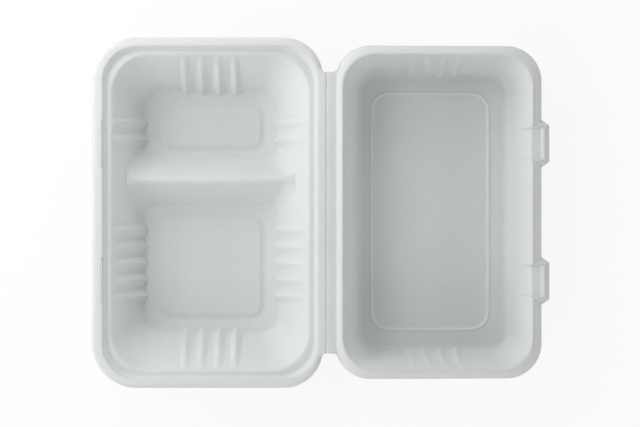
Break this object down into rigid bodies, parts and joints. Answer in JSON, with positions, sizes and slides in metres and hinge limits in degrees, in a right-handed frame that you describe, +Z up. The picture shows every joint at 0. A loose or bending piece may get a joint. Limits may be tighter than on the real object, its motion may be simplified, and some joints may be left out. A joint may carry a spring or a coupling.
{
  "type": "two-compartment bagasse meal box",
  "caption": "Hinged moulded-fibre meal box lying open: a tray with unequal compartments and a divider, and a lid with locking tabs.",
  "frame": {"origin": "middle of the open box's bounding box, on the table it lies on", "axes": "+Z up; +X from the tray across the hinge strip to the lid; +Y along the hinge towards the smaller compartment"},
  "size_m": [0.3035, 0.232, 0.0465],
  "materials": {
    "fibre": "matte moulded fibre"
  },
  "bodies": {
    "base": {"base": "fibre"},
    "lid": {"lid": "fibre"}
  },
  "joints": [
    {"name": "lid_hinge", "type": "hinge", "parent": "base", "child": "lid", "pos_m": [0.00404, 0, 0.04318], "axis": [0, -1, 0], "range_deg": [0, 182.99]}
  ]
}
